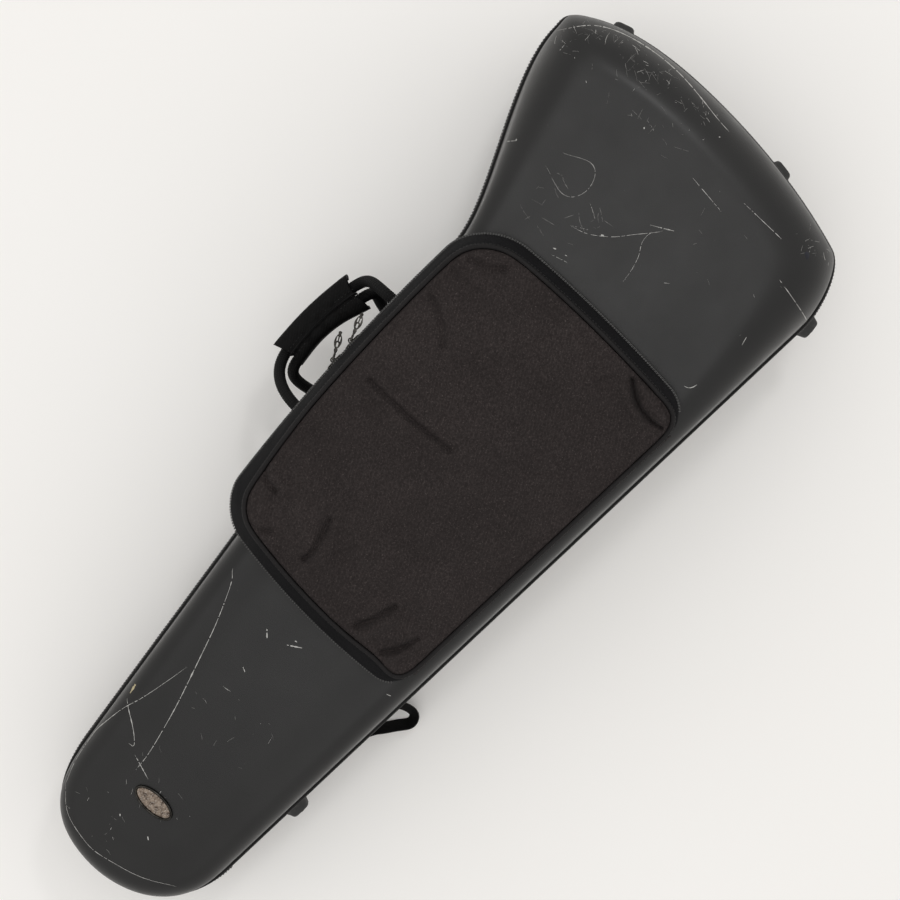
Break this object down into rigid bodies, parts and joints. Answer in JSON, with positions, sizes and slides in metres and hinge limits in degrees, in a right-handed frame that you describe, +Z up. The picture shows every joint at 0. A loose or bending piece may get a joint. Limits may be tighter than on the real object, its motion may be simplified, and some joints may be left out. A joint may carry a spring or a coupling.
{
  "type": "trombone case",
  "caption": "Shaped hard case for a trombone, closed by a zip, with a music pocket on its lid, a padded carrying handle, rubber feet and fitted padding inside.",
  "frame": {"origin": "middle of the bounding box at its bottom, on the surface that the case lies on", "axes": "+X along the case towards the bell end, +Y towards the side with the handle, +Z up through the lid"},
  "size_m": [0.9772, 0.4064, 0.2705],
  "materials": {
    "charcoal_shell": "fine grained, satin",
    "black_edge_trim": "satin extruded bead",
    "zip_tape": "woven tape with moulded teeth",
    "pocket_cloth": "matte woven nylon",
    "pocket_piping": "satin cord piping",
    "black_webbing": "woven webbing",
    "grip_cloth": "satin coated cloth, stitched",
    "black_rubber": "matte moulded",
    "dark_nickel": "dark antique nickel plate",
    "antique_silver": "polished, lightly tarnished",
    "mottled_bronze": "matte mottled bronze, left bare",
    "plush_padding": "plush over foam",
    "black_plastic": "moulded, satin"
  },
  "bodies": {
    "back_half": {"back_shell": "charcoal_shell", "back_edge_trim": "black_edge_trim", "back_zip_chain": "zip_tape", "hinge_tape_back": "black_webbing", "back_lining_slide_heel": "plush_padding", "back_lining_slide_middle": "plush_padding", "back_lining_slide_bell": "plush_padding", "back_lining_heel": "plush_padding", "back_lining_bow": "plush_padding", "back_lining_bell": "plush_padding", "mouthpiece_block": "plush_padding", "slide_strap_heel": "black_webbing", "slide_strap_bell": "black_webbing", "bell_strap": "black_webbing", "foot_side_bell": "black_rubber", "foot_side_heel": "black_rubber", "foot_end_hinge": "black_rubber", "foot_end_handle": "black_rubber", "rear_handle_anchor_heel": "black_plastic", "rear_handle_anchor_bell": "black_plastic", "rear_handle_loop": "black_webbing", "shoulder_strap_hinge_side": "pocket_cloth", "shoulder_strap_handle_side": "pocket_cloth", "strap_patch_hinge_side": "black_webbing", "strap_patch_handle_side": "black_webbing", "ladder_lock_hinge_side": "black_plastic", "ladder_lock_handle_side": "black_plastic", "strap_webbing_hinge_side": "black_webbing", "strap_webbing_handle_side": "black_webbing", "strap_tail": "black_webbing"},
    "lid": {"front_shell": "charcoal_shell", "front_edge_trim": "black_edge_trim", "front_zip_chain": "zip_tape", "hinge_tape_front": "black_webbing", "front_lining": "plush_padding", "front_handle_anchor_heel": "black_plastic", "front_handle_anchor_bell": "black_plastic", "front_handle_loop": "black_webbing", "grip_inner_cover": "grip_cloth", "grip_seam_web": "grip_cloth", "badge_rim": "antique_silver", "badge_plate": "mottled_bronze", "pocket_base": "pocket_cloth", "pocket_zip_lower": "zip_tape", "pocket_hinge_strip": "pocket_cloth"},
    "pocket_flap": {"pocket_zip_upper": "zip_tape", "pocket_gusset": "pocket_cloth", "pocket_piping": "pocket_piping", "pocket_panel": "pocket_cloth"},
    "grip_flap": {"grip_outer_cover": "grip_cloth"},
    "main_slider_a_body": {"main_slider_a": "dark_nickel"},
    "main_slider_b_body": {"main_slider_b": "dark_nickel"},
    "main_pull_a_body": {"main_pull_a": "dark_nickel"},
    "main_pull_b_body": {"main_pull_b": "dark_nickel"},
    "pocket_slider_a_body": {"pocket_slider_a": "dark_nickel"},
    "pocket_slider_b_body": {"pocket_slider_b": "dark_nickel"},
    "pocket_pull_a_body": {"pocket_pull_a": "dark_nickel"},
    "pocket_pull_b_body": {"pocket_pull_b": "dark_nickel"}
  },
  "joints": [
    {"name": "lid_hinge", "type": "hinge", "parent": "back_half", "child": "lid", "pos_m": [-0.3926, -0.1784, 0.08779], "axis": [0.997, 0, 0.0776], "range_deg": [0, 135]},
    {"name": "pocket_hinge", "type": "hinge", "parent": "lid", "child": "pocket_flap", "pos_m": [-0.13937, -0.1552, 0.1942], "axis": [0.9902, 0, 0.1394], "range_deg": [0, 110]},
    {"name": "grip_flap_hinge", "type": "hinge", "parent": "lid", "child": "grip_flap", "pos_m": [0.05078, 0.15467, 0.13885], "axis": [0.997, 0, 0.0776], "range_deg": [0, 100]},
    {"name": "main_slider_a_slide", "type": "slide", "parent": "back_half", "child": "main_slider_a_body", "axis": [0.9826, 0.1694, 0.0765], "range_m": [-0.29, 0]},
    {"name": "main_pull_a_swing", "type": "hinge", "parent": "main_slider_a_body", "child": "main_pull_a_body", "pos_m": [-0.08459, 0.0788, 0.11102], "axis": [-0.0776, 0, 0.997], "range_deg": [-90, 0]},
    {"name": "main_slider_b_slide", "type": "slide", "parent": "back_half", "child": "main_slider_b_body", "axis": [0.9826, 0.1694, 0.0765], "range_m": [0, 0.14]},
    {"name": "main_pull_b_swing", "type": "hinge", "parent": "main_slider_b_body", "child": "main_pull_b_body", "pos_m": [-0.05904, 0.0832, 0.113], "axis": [-0.0776, 0, 0.997], "range_deg": [0, 90]},
    {"name": "pocket_slider_a_slide", "type": "slide", "parent": "lid", "child": "pocket_slider_a_body", "axis": [0.9885, 0.0595, 0.1392], "range_m": [-0.11, 0]},
    {"name": "pocket_pull_a_swing", "type": "hinge", "parent": "pocket_slider_a_body", "child": "pocket_pull_a_body", "pos_m": [0.0351, 0.1115, 0.21599], "axis": [-0.1394, 0, 0.9902], "range_deg": [0, 110]},
    {"name": "pocket_slider_b_slide", "type": "slide", "parent": "lid", "child": "pocket_slider_b_body", "axis": [0.9885, 0.0595, 0.1392], "range_m": [0, 0.145]},
    {"name": "pocket_pull_b_swing", "type": "hinge", "parent": "pocket_slider_b_body", "child": "pocket_pull_b_body", "pos_m": [0.05981, 0.11299, 0.21947], "axis": [-0.1394, 0, 0.9902], "range_deg": [0, 55]}
  ]
}
